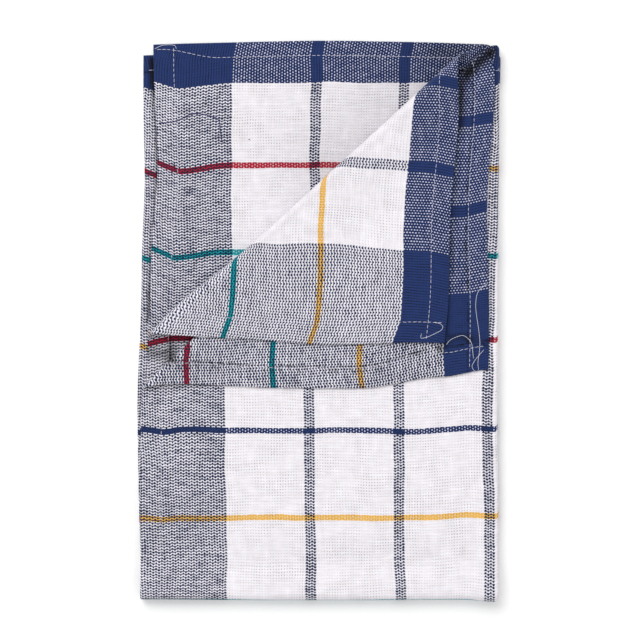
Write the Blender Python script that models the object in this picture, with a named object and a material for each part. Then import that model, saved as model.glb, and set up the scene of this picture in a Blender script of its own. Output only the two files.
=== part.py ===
"""A cotton check tea towel, folded in four, with one corner of its upper half turned back.

Run it with blender --background --python part.py. The towel is one cut of cloth with its hems
turned on it, so it is one solid. The cloth is laid out flat, scored where it will bend, and then
every point is folded three times: lengthwise, crosswise and, last, diagonally at the corner.

Sizes are in millimetres until the mesh is written, in metres. +X is right and +Y is up in the
photo, +Z is up from the table, and the origin ends up under the middle of the folded towel.

The folded towel has four layers. From the table up they are the lower half's outer and inner
layers and the upper half's inner and outer layers. "across" runs from the lengthwise crease:
negative on the inner layers and positive on the outer ones. "along" runs from the crosswise
crease: negative on the lower half and positive on the upper half.
"""

import bisect
import collections
import math

import bmesh
import bpy
from mathutils import Matrix, Vector

MM = 0.001

# The cloth, laid flat.
NOMINAL_HALF_WIDTH = 220.0
LOWER_LENGTH = 348.0
UPPER_LENGTH = 354.5
CLOTH_THICKNESS = 1.0
SIDE_HEM_WIDTH = 14.0
UPPER_END_HEM_WIDTH = 13.0
LOWER_END_HEM_WIDTH = 10.6
HEM_EXTRA_THICKNESS = 0.4
HEM_RAMP = 4.0

# Where the cloth's outline leaves a plain rectangle. The hems run a little off the grain, and
# the lengthwise crease wanders. A row for each station along the towel, lower end first.
Station = collections.namedtuple("Station", "along inner_width outer_width crease_x")
OUTLINE = (
    Station(-LOWER_LENGTH, 219.3, 225.7, 114.4),
    Station(-274.0, 215.3, 223.7, 113.0),
    Station(-214.0, 218.9, 224.8, 112.7),
    Station(-120.0, 222.0, 227.6, 112.6),
    Station(0.0, 221.0, 225.5, 112.6),
    Station(120.0, 221.0, 224.5, 112.2),
    Station(160.0, 220.5, 220.8, 112.3),
    Station(235.0, 219.3, 224.2, 112.7),
    Station(275.0, 220.4, 224.7, 112.9),
    Station(325.0, 220.6, 218.3, 113.1),
    Station(UPPER_LENGTH, 220.6, 214.2, 113.2),
)

# The end hems dip where the lengthwise crease crosses them, further across on some layers, and
# the outer layer's upper end has a shallow bay. The lower end bows out on its inner layer, and
# slants back to its outer corner.
END_DIP_DEPTH = 7.0
LOWER_DIP_WIDTH = 5.0
UPPER_OUTER_DIP_WIDTH = 15.0
UPPER_INNER_DIP_WIDTH = 50.0
UPPER_OUTER_BAY_DEPTH = 3.8
UPPER_OUTER_BAY_MIDDLE = 108.0
UPPER_OUTER_BAY_WIDTH = 60.0
LOWER_END_BOW = 2.7
LOWER_END_SLANT = 3.4

# Heights between the middles of neighbouring layers. Hems are turned to the cloth's wrong side,
# so layers with their wrong sides together lie further apart.
WRONG_SIDES_PITCH = 2.0
RIGHT_SIDES_PITCH = 1.4
CREASE_BULGE = 1.0
CREASE_BULGE_REACH = 20.0
CROSS_BULGE = 3.0
CROSS_BULGE_REACH = 32.0
CROSS_FOLD_INNER_RADIUS = (RIGHT_SIDES_PITCH + CROSS_BULGE) / 2
CROSS_FOLD_CENTRE_Y = -170.6

# The two rolls of the turned-back corner. Each runs from its toe, on the left edge, to its
# head, near the upper right corner, and its loop stands this high at each end.
# Near the toe the loop is pointed, and further on it is a little flattened.
Turn = collections.namedtuple(
    "Turn", "toe_x toe_y head_x head_y toe_loop head_loop toe_point slack"
)
OUTER_LAYER_TURN = Turn(-115.6, -46.9, 107.0, 173.5, 4.0, 3.0, 0.6, 0.0)
INNER_LAYER_TURN = Turn(-106.5, -7.1, 77.1, 162.1, 8.0, 11.0, 2.4, 1.1)
ROLL_SETTLES_IN = 36.0

# The turned-back corner lies on the bias: across its rolls the cloth draws in, and along them it
# stretches, to both sides of a place this share of the way from toe to head.
BIAS_SHRINK = 0.026
BIAS_STRETCH = 0.015
BIAS_STRETCH_REACH = 30.0
BIAS_STRETCH_MIDDLE = 0.4

# The inner layer's turned-back corner was then pulled straight: towards the lengthwise crease,
# and back from its end.
PULL_TO_CREASE = 5.6
PULL_FROM_END = 5.0
PULL_STARTS_ALONG = 190.0

# How finely the flat cloth is divided. The flap cuts lie beyond a roll, in widths of the roll.
PLAIN_STEP = 27.0
ROLL_CUTS = 8
FLAP_CUTS = (2.2, 3.4)
CREASE_CUTS = 5
BULGE_CUTS = 4
SCORE_SNAP = 1e-4
SHARP_ANGLE = math.radians(50)

TOWEL_COLOUR = (0.80, 0.80, 0.87, 1.0)
TOWEL_ROUGHNESS = 0.9


def ease(share):
    """0 to 1 with level ends, for a share that may run past either end."""
    share = min(max(share, 0.0), 1.0)
    return share * share * (3.0 - 2.0 * share)


def blend(start, end, share):
    return start + (end - start) * share


def outline_at(along):
    """The row of OUTLINE at this place, worked out between its two neighbours."""
    places = [station.along for station in OUTLINE]
    after = min(max(bisect.bisect_right(places, along), 1), len(OUTLINE) - 1)
    low, high = OUTLINE[after - 1], OUTLINE[after]
    share = ease((along - low.along) / (high.along - low.along))
    return Station(*(blend(start, end, share) for start, end in zip(low, high)))


def cloth_reach(across, along):
    """How far the cloth reaches here: to its side hem, and to its end hem."""
    row = outline_at(along)
    width = row.inner_width if across < 0 else row.outer_width
    share = min(abs(across) / NOMINAL_HALF_WIDTH, 1.0)
    if along < 0 and across < 0:
        length, dip_width = LOWER_LENGTH + LOWER_END_BOW * math.sin(math.pi * share), LOWER_DIP_WIDTH
    elif along < 0:
        length, dip_width = LOWER_LENGTH - LOWER_END_SLANT * share**2, LOWER_DIP_WIDTH
    elif across < 0:
        length, dip_width = UPPER_LENGTH, UPPER_INNER_DIP_WIDTH
    else:
        from_bay = (across - UPPER_OUTER_BAY_MIDDLE) / UPPER_OUTER_BAY_WIDTH
        length = UPPER_LENGTH - UPPER_OUTER_BAY_DEPTH * math.exp(-(from_bay**2))
        dip_width = UPPER_OUTER_DIP_WIDTH
    return width, length - END_DIP_DEPTH * math.exp(-((across / dip_width) ** 2))


def pulled(across, along):
    """Where a point of the cloth lies once the inner layer's turned-back corner was pulled."""
    if across >= 0 or along <= PULL_STARTS_ALONG:
        return across, along
    from_start = along - PULL_STARTS_ALONG
    lag = 75.0 * ease((-110.0 - across) / 111.0) ** 2
    clear_of_crease = ease(-across / 30.0)
    to_crease = PULL_TO_CREASE * clear_of_crease * ease((from_start - lag) / 90.0)
    from_end = PULL_FROM_END * clear_of_crease * ease((across + 205.0) / 85.0)
    return across + to_crease, along - from_end * ease(from_start / 70.0)


def pair_gap(from_crease):
    """Height between the two layers of one half: more beside the lengthwise crease."""
    return WRONG_SIDES_PITCH + CREASE_BULGE * (1.0 - ease(from_crease / CREASE_BULGE_REACH))


def upper_lift(from_cross_fold):
    """How far the upper half lies above its pressed height, beside the crosswise fold."""
    return CROSS_BULGE * (1.0 - ease(from_cross_fold / CROSS_BULGE_REACH))


def fold_lengthwise(across, offset):
    """(distance right of the crease, height over the outer layer, gap of the pair).

    offset is the distance from the cloth's middle surface towards its right side, which is
    outside this fold.
    """
    radius = pair_gap(0.0) / 2
    bend = min(max(across / radius, -math.pi / 2), math.pi / 2)
    past = abs(across - bend * radius)
    right = (radius + offset) * math.cos(bend) - radius - past
    gap = pair_gap(past)
    swing = (1.0 - math.sin(bend)) / 2
    height = swing * gap - offset * math.sin(bend)
    return right, height, gap


def fold_crosswise(along, height, middle_height, gap):
    """(y, z) of a point at this height over the outer layer of its half."""
    centre_z = CLOTH_THICKNESS / 2 + gap + CROSS_FOLD_INNER_RADIUS
    middle_radius = gap + CROSS_FOLD_INNER_RADIUS - middle_height
    bend = min(max(along / middle_radius, -math.pi / 2), math.pi / 2)
    past = abs(along - bend * middle_radius)
    radius = gap + CROSS_FOLD_INNER_RADIUS - height
    y = CROSS_FOLD_CENTRE_Y - radius * math.cos(bend) + past
    z = centre_z + radius * math.sin(bend)
    if along > 0:
        z -= CROSS_BULGE - upper_lift(past)
    return y, z


def upper_pair_gap(x, y):
    """Height between the upper half's two layers at this place on the folded towel."""
    crease_x = outline_at(y - CROSS_FOLD_CENTRE_Y).crease_x
    return pair_gap(max(crease_x - pair_gap(0.0) / 2 - x, 0.0))


def upper_half_height(x, y):
    """Middle surface of the upper half's outer layer, before the corner is turned back."""
    layers_below = 2 * upper_pair_gap(x, y) + RIGHT_SIDES_PITCH
    from_fold = max(y - CROSS_FOLD_CENTRE_Y, 0.0)
    return CLOTH_THICKNESS / 2 + layers_below + upper_lift(from_fold)


def turn_axes(turn):
    """(toe, length, unit vector from toe to head, unit vector from the roll to the corner)."""
    toe = Vector((turn.toe_x, turn.toe_y))
    run = Vector((turn.head_x, turn.head_y)) - toe
    forward = run.normalized()
    return toe, run.length, forward, Vector((-forward.y, forward.x))


def roll_place(turn, x, y):
    """(share of the way from toe to head, distance past the line that the cloth mirrors on)."""
    toe, length, forward, outward = turn_axes(turn)
    from_toe = Vector((x, y)) - toe
    return from_toe.dot(forward) / length, from_toe.dot(outward)


def loop_height(turn, share):
    return blend(turn.toe_loop, turn.head_loop, ease(share))


def loop_reach(turn, share):
    """How far the loop sticks out past the start of its bend: it is pointed near its toe."""
    pointed = turn.toe_point * math.exp(-(((share - 0.1) / 0.11) ** 2))
    return loop_height(turn, share) / 2 + pointed - turn.slack * ease((share - 0.15) / 0.2)


def outer_flap_rise(x, y):
    """Height of the turned-back outer layer over the unturned one."""
    share, past = roll_place(OUTER_LAYER_TURN, x, y)
    loop = loop_height(OUTER_LAYER_TURN, share)
    return blend(loop, RIGHT_SIDES_PITCH, ease(-past / ROLL_SETTLES_IN))


def inner_flap_rise(x, y):
    """Height of the turned-back inner layer, on top, over the unturned outer layer."""
    share, past = roll_place(INNER_LAYER_TURN, x, y)
    loop = loop_height(INNER_LAYER_TURN, share)
    under = loop_height(OUTER_LAYER_TURN, share) + WRONG_SIDES_PITCH
    resting = outer_flap_rise(x, y) + WRONG_SIDES_PITCH
    spare = max(loop - WRONG_SIDES_PITCH - under, 0.0)
    return resting + spare * (1.0 - ease(-past / ROLL_SETTLES_IN))


def turn_back_corner(x, y, z, offset, turn, is_inner):
    """Rolls a point of the upper half over, if it lies past the turned-back corner's fold.

    z and the answer include offset, the distance above the layer's middle surface.
    """
    share, past_mirror = roll_place(turn, x, y)
    flap_rise = inner_flap_rise if is_inner else outer_flap_rise
    radius = loop_height(turn, share) / 2
    past = past_mirror + math.pi * radius / 2
    if past <= 0.0:
        return x, y, z
    _, length, forward, outward = turn_axes(turn)
    start = Vector((x, y)) - past * outward
    bend = min(past / radius, math.pi)
    beyond = past - bend * radius
    reach = loop_reach(turn, share) * math.sin(bend) - beyond * (1.0 - BIAS_SHRINK)
    stretch = BIAS_STRETCH * ease(beyond / BIAS_STRETCH_REACH)
    slip = stretch * (share - BIAS_STRETCH_MIDDLE) * length
    middle = start + reach * outward + slip * forward
    normal_out = -offset * math.sin(bend)
    normal_up = offset * math.cos(bend)
    layer_z = upper_half_height(middle.x, middle.y)
    low = layer_z - (upper_pair_gap(middle.x, middle.y) if is_inner else 0.0)
    high = layer_z + flap_rise(middle.x, middle.y)
    turned = (1.0 - math.cos(bend)) / 2
    place = middle + normal_out * outward
    return place.x, place.y, blend(low, high, turned) + normal_up


def hem_share(across, along):
    """1 on a hem, 0 away from it, with a short ramp at its stitched edge."""
    width, length = cloth_reach(across, along)
    end_hem_width = LOWER_END_HEM_WIDTH if along < 0 else UPPER_END_HEM_WIDTH
    inside_side_hem = width - abs(across) - SIDE_HEM_WIDTH
    inside_end_hem = length - abs(along) - end_hem_width
    return 1.0 - ease(min(inside_side_hem, inside_end_hem) / HEM_RAMP)


def surface_offset(across, along, is_right_side):
    """Distance of a side of the cloth from its middle surface, towards its right side."""
    if is_right_side:
        return CLOTH_THICKNESS / 2
    return -CLOTH_THICKNESS / 2 - HEM_EXTRA_THICKNESS * hem_share(across, along)


def folded(across, along, offset):
    """Where a point of the pulled cloth, this far from its middle, ends up, in millimetres."""
    right, height, gap = fold_lengthwise(across, offset)
    _, middle_height, _ = fold_lengthwise(across, 0.0)
    y, z = fold_crosswise(along, height, middle_height, gap)
    x = outline_at(along).crease_x + right
    if along <= 0:
        return x, y, z
    if across < 0:
        return turn_back_corner(x, y, z, -offset, INNER_LAYER_TURN, True)
    return turn_back_corner(x, y, z, offset, OUTER_LAYER_TURN, False)


def cross_fold_arc(middle_height):
    """Cloth from the crosswise crease to where a layer of the pair lies straight again."""
    return math.pi * (WRONG_SIDES_PITCH + CROSS_FOLD_INNER_RADIUS - middle_height) / 2


def steps(start, end, longest):
    """Even places from start to end, no further apart than longest."""
    count = max(math.ceil(abs(end - start) / longest), 1)
    return [blend(start, end, index / count) for index in range(count + 1)]


def half_places(bend_reach, bulge_reach, hem_width, length):
    """Places to cut one half of the cloth, from its crease out to its hem."""
    hem_inner = length - hem_width
    places = steps(0.0, bend_reach, bend_reach / CREASE_CUTS)
    places += steps(bend_reach, bulge_reach, bulge_reach / BULGE_CUTS)
    places += steps(bulge_reach, hem_inner - HEM_RAMP, PLAIN_STEP)
    return places + [hem_inner]


ON_CLOTH = "on_cloth"


def scored_sheet():
    """The flat cloth, with an edge wherever it will bend.

    The straight lines are scored on a plain rectangle, which then takes the cloth's real
    outline. Each vertex keeps its place on that cloth, the turned-back corner is pulled, and its
    lines are scored across it.
    """
    sheet = bmesh.new()
    on_cloth = sheet.verts.layers.float_vector.new(ON_CLOTH)
    corners = (
        (-NOMINAL_HALF_WIDTH, -LOWER_LENGTH, 0.0),
        (NOMINAL_HALF_WIDTH, -LOWER_LENGTH, 0.0),
        (NOMINAL_HALF_WIDTH, UPPER_LENGTH, 0.0),
        (-NOMINAL_HALF_WIDTH, UPPER_LENGTH, 0.0),
    )
    sheet.faces.new([sheet.verts.new(corner) for corner in corners])

    crease_reach = math.pi * pair_gap(0.0) / 4
    sideways = half_places(crease_reach, CREASE_BULGE_REACH, SIDE_HEM_WIDTH, NOMINAL_HALF_WIDTH)
    for across in sideways:
        score(sheet, (across, 0.0), (1.0, 0.0))
        score(sheet, (-across, 0.0), (1.0, 0.0))
    cross_reach = cross_fold_arc(0.0)
    for along in half_places(cross_reach, CROSS_BULGE_REACH, UPPER_END_HEM_WIDTH, UPPER_LENGTH):
        score(sheet, (0.0, along), (0.0, 1.0))
    for along in half_places(cross_reach, CROSS_BULGE_REACH, LOWER_END_HEM_WIDTH, LOWER_LENGTH):
        score(sheet, (0.0, -along), (0.0, 1.0))

    for vert in sheet.verts:
        across, along, _ = vert.co
        width, length = cloth_reach(across, along)
        across *= width / NOMINAL_HALF_WIDTH
        along *= length / (LOWER_LENGTH if along < 0 else UPPER_LENGTH)
        vert[on_cloth] = (across, along, 0.0)
        vert.co = (*pulled(across, along), 0.0)

    score_turn(sheet, INNER_LAYER_TURN, -1.0)
    score_turn(sheet, OUTER_LAYER_TURN, 1.0)
    return sheet


def score(sheet, point, normal, only=None):
    """Cuts edges into the flat sheet along a straight line."""
    faces = [face for face in sheet.faces if only is None or only(face.calc_center_median())]
    edges = {edge for face in faces for edge in face.edges}
    verts = {vert for face in faces for vert in face.verts}
    bmesh.ops.bisect_plane(
        sheet,
        geom=[*verts, *edges, *faces],
        dist=SCORE_SNAP,
        plane_co=(*point, 0.0),
        plane_no=(*normal, 0.0),
    )


def score_turn(sheet, turn, side):
    """Scores the roll of a turned-back layer, which lies on this side of the crease."""
    arc = cross_fold_arc(WRONG_SIDES_PITCH if side < 0 else 0.0)

    def flat(place):
        across = side * (outline_at(UPPER_LENGTH / 2).crease_x - place.x)
        return Vector((across, place.y - CROSS_FOLD_CENTRE_Y + arc))

    def on_this_layer(centre):
        return centre.x * side > 0 and centre.y > 0

    toe, length, forward, outward = turn_axes(turn)
    head = toe + length * forward
    arc_toe = math.pi * turn.toe_loop / 2
    arc_head = math.pi * turn.head_loop / 2
    roll_cuts = [index / ROLL_CUTS for index in range(-1, ROLL_CUTS + 2)]
    for share in (*roll_cuts, *FLAP_CUTS):
        start = flat(toe + outward * (share - 0.5) * arc_toe)
        end = flat(head + outward * (share - 0.5) * arc_head)
        run = (end - start).normalized()
        score(sheet, start, (-run.y, run.x), on_this_layer)


def towel_mesh(sheet):
    """Folds both sides of the scored sheet and closes it along its hems."""
    on_cloth = sheet.verts.layers.float_vector[ON_CLOTH]
    solid = bmesh.new()
    sides = {}
    for is_right_side in (True, False):
        for vert in sheet.verts:
            offset = surface_offset(vert[on_cloth].x, vert[on_cloth].y, is_right_side)
            place = Vector(folded(vert.co.x, vert.co.y, offset)) * MM
            sides[vert, is_right_side] = solid.verts.new(place)
    for face in sheet.faces:
        solid.faces.new([sides[vert, True] for vert in reversed(face.verts)])
        solid.faces.new([sides[vert, False] for vert in face.verts])
    for edge in sheet.edges:
        if edge.is_boundary:
            loop = edge.link_loops[0]
            first, second = loop.vert, loop.link_loop_next.vert
            rim = ((first, True), (second, True), (second, False), (first, False))
            solid.faces.new([sides[corner] for corner in rim])
    for face in solid.faces:
        face.smooth = True
    mesh = bpy.data.meshes.new("towel")
    solid.to_mesh(mesh)
    solid.free()
    return mesh


def centre_on_origin(mesh):
    """Slides the mesh on the table until the origin is under the middle of its box."""
    xs = [vert.co.x for vert in mesh.vertices]
    ys = [vert.co.y for vert in mesh.vertices]
    middle = Vector((min(xs) + max(xs), min(ys) + max(ys), 0.0)) / 2
    mesh.transform(Matrix.Translation(-middle))


def cotton():
    material = bpy.data.materials.new("towel")
    material.use_nodes = True
    shader = material.node_tree.nodes["Principled BSDF"]
    shader.inputs["Base Color"].default_value = TOWEL_COLOUR
    shader.inputs["Roughness"].default_value = TOWEL_ROUGHNESS
    shader.inputs["Metallic"].default_value = 0.0
    return material


def main():
    for old in list(bpy.data.objects):
        bpy.data.objects.remove(old, do_unlink=True)
    sheet = scored_sheet()
    mesh = towel_mesh(sheet)
    sheet.free()
    centre_on_origin(mesh)
    mesh.materials.append(cotton())
    mesh.set_sharp_from_angle(angle=SHARP_ANGLE)
    towel = bpy.data.objects.new("towel", mesh)
    bpy.context.scene.collection.objects.link(towel)


main()
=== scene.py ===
"""The looks of a cotton check tea towel, folded in four with one corner turned back.

The cloth is laid out flat, scored, folded and settled, and its weave is drawn from where each
point lies in the flat cloth, so that every stripe runs through the folds as it does on the real
towel. Sizes are in millimetres until a mesh is written, in metres.

The folded towel has four layers. From the table up they are the lower half's outer and inner
layers and the upper half's inner and outer layers. "across" runs from the lengthwise crease:
negative on the inner layers and positive on the outer ones. "along" runs from the crosswise
crease: negative on the lower half and positive on the upper half.
"""

import bisect
import collections
import functools
import math
import random

import bmesh
import bpy
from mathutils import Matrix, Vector, noise
from mathutils.bvhtree import BVHTree


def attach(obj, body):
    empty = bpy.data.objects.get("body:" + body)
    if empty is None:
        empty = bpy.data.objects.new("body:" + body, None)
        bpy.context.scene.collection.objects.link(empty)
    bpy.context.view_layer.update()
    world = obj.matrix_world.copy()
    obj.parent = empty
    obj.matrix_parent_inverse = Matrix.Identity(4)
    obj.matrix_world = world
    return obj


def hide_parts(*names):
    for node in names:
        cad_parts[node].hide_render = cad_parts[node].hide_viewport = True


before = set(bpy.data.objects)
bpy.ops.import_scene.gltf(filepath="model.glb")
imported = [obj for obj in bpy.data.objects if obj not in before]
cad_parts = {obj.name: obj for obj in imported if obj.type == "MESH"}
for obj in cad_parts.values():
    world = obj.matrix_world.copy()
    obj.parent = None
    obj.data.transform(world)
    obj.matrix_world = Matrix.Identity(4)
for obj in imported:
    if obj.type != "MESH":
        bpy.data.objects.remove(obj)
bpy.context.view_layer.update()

MM = 0.001

# A change that starts at one place and is complete this much further on.
Fade = collections.namedtuple("Fade", "start reach")

# The cloth, laid flat.
NOMINAL_HALF_WIDTH = 220.0
LOWER_LENGTH = 348.0
UPPER_LENGTH = 354.5
CLOTH_THICKNESS = 0.8
SIDE_HEM_WIDTH = 14.0
UPPER_END_HEM_WIDTH = 13.0
LOWER_END_HEM_WIDTH = 10.6
HEM_EXTRA_THICKNESS = 0.5
HEM_RAMP = 2.0
EDGE_ROUNDING = 0.7
EDGE_BLUNTNESS = 0.12

# Where the cloth's outline leaves a plain rectangle. The hems run a little off the grain, and
# the lengthwise crease wanders. A row for each station along the towel, lower end first.
Station = collections.namedtuple("Station", "along inner_width outer_width crease_x")
OUTLINE = (
    Station(-LOWER_LENGTH, 219.3, 225.7, 114.4),
    Station(-274.0, 215.3, 223.7, 113.0),
    Station(-214.0, 218.9, 224.8, 112.7),
    Station(-120.0, 222.0, 227.6, 112.6),
    Station(0.0, 221.0, 225.5, 112.6),
    Station(120.0, 221.0, 224.5, 112.2),
    Station(160.0, 220.5, 220.8, 112.3),
    Station(235.0, 219.3, 224.2, 112.7),
    Station(275.0, 220.4, 224.7, 112.9),
    Station(325.0, 220.6, 218.3, 113.1),
    Station(UPPER_LENGTH, 220.6, 214.2, 113.2),
)

# The end hems dip where the lengthwise crease crosses them, further across on some layers, and
# the outer layer's upper end has a shallow bay. The lower end bows out on its inner layer, and
# slants back to its outer corner.
END_DIP_DEPTH = 7.0
LOWER_DIP_WIDTH = 5.0
UPPER_OUTER_DIP_WIDTH = 15.0
UPPER_INNER_DIP_WIDTH = 50.0
UPPER_OUTER_BAY_DEPTH = 3.8
UPPER_OUTER_BAY_MIDDLE = 108.0
UPPER_OUTER_BAY_WIDTH = 60.0
LOWER_END_BOW = 2.7
LOWER_END_SLANT = 3.4

# Heights between the middles of neighbouring layers. Hems are turned to the cloth's wrong side,
# so layers with their wrong sides together lie further apart.
WRONG_SIDES_PITCH = 2.0
RIGHT_SIDES_PITCH = 1.4
CREASE_BULGE = 1.0
CREASE_BULGE_REACH = 20.0
CROSS_BULGE = 3.0
CROSS_BULGE_REACH = 32.0
CROSS_FOLD_INNER_RADIUS = (RIGHT_SIDES_PITCH + CROSS_BULGE) / 2
CROSS_FOLD_CENTRE_Y = -170.6

# The two rolls of the turned-back corner. Each runs from its toe, on the left edge, to its
# head, near the upper right corner, and its loop stands this high at each end.
# Near the toe the loop is pointed, and further on it is a little slack.
Turn = collections.namedtuple(
    "Turn", "toe_x toe_y head_x head_y toe_loop head_loop toe_point slack"
)
OUTER_LAYER_TURN = Turn(-115.6, -46.9, 107.0, 173.5, 4.0, 3.0, 0.6, 0.0)
INNER_LAYER_TURN = Turn(-106.5, -7.1, 77.1, 162.1, 8.0, 11.0, 2.4, 1.1)
TOE_POINT_SHARE = 0.1
TOE_POINT_SPREAD = 0.11
SLACK_ALONG_ROLL = Fade(0.15, 0.2)
ROLL_SETTLES_IN = 36.0
BIAS_SHRINK = 0.026
BIAS_STRETCH = 0.015
BIAS_STRETCH_REACH = 30.0
BIAS_STRETCH_MIDDLE = 0.4

# The inner layer's turned-back corner was then pulled straight: towards the lengthwise crease,
# and back from its end.
PULL_TO_CREASE = 5.6
PULL_FROM_END = 5.0
PULL_STARTS_ALONG = 190.0
PULL_CLEAR_OF_CREASE = Fade(0.0, 30.0)
PULL_TO_CREASE_ALONG = Fade(0.0, 90.0)
PULL_LAG = 75.0
PULL_LAG_ACROSS = Fade(110.0, 111.0)
PULL_FROM_END_ALONG = Fade(0.0, 70.0)
PULL_FROM_END_ACROSS = Fade(-205.0, 85.0)

# The middle of the folded towel's box, in the folds' own coordinates.
BOX_MIDDLE_X = 0.393
BOX_MIDDLE_Y = 0.152

# How finely the flat cloth is divided.
PLAIN_STEP = 3.5
HEM_STEP = 2.2
CREASE_STEP = 0.5
BULGE_STEP = 2.0
EDGE_PLACES = (EDGE_ROUNDING, 0.4, 0.2, 0.06, 0.0)
ROLL_CUTS = 12
CUT_SNAP = 0.05

# The weave. A warp column is a pair of ends that lift together.
WARP_COLUMN = 56.0 / 33
PICK = 54.9 / 60
WARP_REPEAT = 56.0
WEFT_REPEAT = 54.9
WARP_STRIPE = 4 * WARP_COLUMN
WEFT_STRIPE = 4 * PICK
DOT_HALF_WIDTH = 0.52
DOT_HALF_LENGTH = 0.55
SIDE_BAND_FROM = 165.0
END_BAND_FROM = 326.5
WARP_OFFSET = -1.0
LOWER_WEFT_OFFSET = -2.2
UPPER_WEFT_OFFSET = 1.4
WEFT_OFFSET_CHANGE = Fade(-30.0, 60.0)

# How far the pattern's middle lies from the lengthwise crease, along the towel.
GrainDrift = collections.namedtuple("GrainDrift", "along drift")
GRAIN_DRIFT = (
    GrainDrift(-LOWER_LENGTH, 5.6),
    GrainDrift(-150.0, 4.0),
    GrainDrift(0.0, -5.0),
    GrainDrift(130.0, -6.0),
    GrainDrift(UPPER_LENGTH, -0.5),
)

# The sewing sags the stripes towards a side hem's stitches, and then drags them back along the
# turned strip, which leaves a kink at the stitches.
Seam = collections.namedtuple("Seam", "along inner_sag inner_drag outer_sag outer_drag")
SEAMS = (
    Seam(-LOWER_LENGTH, -3.1, 3.5, -4.0, 4.0),
    Seam(-290.0, -4.0, 5.8, -6.0, 5.6),
    Seam(-200.0, -3.0, 6.0, -6.0, 5.6),
    Seam(60.0, 0.0, 3.6, 1.2, -1.8),
    Seam(UPPER_LENGTH, 0.0, 3.6, 0.0, -1.8),
)
CREASE_LIFT_BOTTOM = 3.1
CREASE_LIFT_TOP = 1.2
CREASE_LIFT_REACH = 55.0
CREASE_LIFT_ALONG = Fade(0.0, 30.0)
CREASE_LIFT_EASES = Fade(165.0, 50.0)
INNER_SAG_REACH = 32.0
OUTER_SAG_REACH = 12.0
CORNER_HEM_SPREAD = 4.5
CORNER_SPREAD_ALONG = Fade(275.0, 50.0)
CORNER_SKEW = 11.0
CORNER_SKEW_ALONG = Fade(270.0, 75.0)
CORNER_SKEW_ACROSS = Fade(165.0, 34.0)
LOWER_END_HEM_DRAG = -2.0
UPPER_END_HEM_DRAG = 2.2

# Sewing.
STITCH_PITCH = 3.2
STITCH_LENGTH = 2.5
STITCH_INSET = 1.2
STITCH_RADIUS = 0.145
STITCH_RISE = 0.16
STITCH_SWAY = 0.25
STITCH_SHORTEST = 0.85
STITCH_LONGEST = 1.1
STITCH_SPANS = 4
SEAM_RUNS_OUT = 6.2
SEAM_RUNS_OUT_ACROSS = Fade(180.0, 38.0)
LINE_END_INSET = 2.5

# The camera looks straight down.
CAMERA_HEIGHT = 1250.0
FRAME_WIDTH = 401.3
CAMERA_X = 0.552
CAMERA_Y = 0.478
TOP_SURFACE = 8.0
SENSOR_WIDTH = 36.0

# The stitches under the towel reach this far below it.
FLOOR_DROP = 0.3


def ease(share):
    """0 to 1 with level ends, for a share that may run past either end."""
    share = min(max(share, 0.0), 1.0)
    return share * share * (3.0 - 2.0 * share)


def blend(start, end, share):
    return start + (end - start) * share


def faded_in(place, fade):
    return ease((place - fade.start) / fade.reach)


def bell(offset):
    """1 at 0, fading out to both sides."""
    return math.exp(-(offset**2))


def row_at(rows, along):
    """The row at this place along the towel, worked out between its two neighbours."""
    places = [row.along for row in rows]
    after = min(max(bisect.bisect_right(places, along), 1), len(rows) - 1)
    low, high = rows[after - 1], rows[after]
    share = ease((along - low.along) / (high.along - low.along))
    return type(low)(*(blend(start, end, share) for start, end in zip(low, high)))


def cloth_reach(across, along):
    """How far the cloth reaches here: to its side hem, and to its end hem."""
    row = row_at(OUTLINE, along)
    width = row.inner_width if across < 0 else row.outer_width
    share = min(abs(across) / NOMINAL_HALF_WIDTH, 1.0)
    if along < 0 and across < 0:
        bow = LOWER_END_BOW * math.sin(math.pi * share)
        length, dip_width = LOWER_LENGTH + bow, LOWER_DIP_WIDTH
    elif along < 0:
        length, dip_width = LOWER_LENGTH - LOWER_END_SLANT * share**2, LOWER_DIP_WIDTH
    elif across < 0:
        length, dip_width = UPPER_LENGTH, UPPER_INNER_DIP_WIDTH
    else:
        from_bay = (across - UPPER_OUTER_BAY_MIDDLE) / UPPER_OUTER_BAY_WIDTH
        length = UPPER_LENGTH - UPPER_OUTER_BAY_DEPTH * bell(from_bay)
        dip_width = UPPER_OUTER_DIP_WIDTH
    return width, length - END_DIP_DEPTH * bell(across / dip_width)


def end_hem_width(along):
    return LOWER_END_HEM_WIDTH if along < 0 else UPPER_END_HEM_WIDTH


def hem_depths(across, along):
    """How far past its inner edge a point lies on the side hem and on the end hem, 0 to 1."""
    width, length = cloth_reach(across, along)
    side = 1.0 - (width - abs(across)) / SIDE_HEM_WIDTH
    end = 1.0 - (length - abs(along)) / end_hem_width(along)
    return max(side, 0.0), max(end, 0.0)


def pulled(across, along):
    """Where a point of the cloth lies once the inner layer's turned-back corner was pulled."""
    if across >= 0 or along <= PULL_STARTS_ALONG:
        return across, along
    from_start = along - PULL_STARTS_ALONG
    lag = PULL_LAG * faded_in(-across, PULL_LAG_ACROSS) ** 2
    clear_of_crease = faded_in(-across, PULL_CLEAR_OF_CREASE)
    to_crease = PULL_TO_CREASE * clear_of_crease * faded_in(from_start - lag, PULL_TO_CREASE_ALONG)
    from_end = PULL_FROM_END * clear_of_crease * faded_in(across, PULL_FROM_END_ACROSS)
    return across + to_crease, along - from_end * faded_in(from_start, PULL_FROM_END_ALONG)


def pair_gap(from_crease):
    """Height between the two layers of one half: more beside the lengthwise crease."""
    return WRONG_SIDES_PITCH + CREASE_BULGE * (1.0 - ease(from_crease / CREASE_BULGE_REACH))


def upper_lift(from_cross_fold):
    """How far the upper half lies above its pressed height, beside the crosswise fold."""
    return CROSS_BULGE * (1.0 - ease(from_cross_fold / CROSS_BULGE_REACH))


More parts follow.
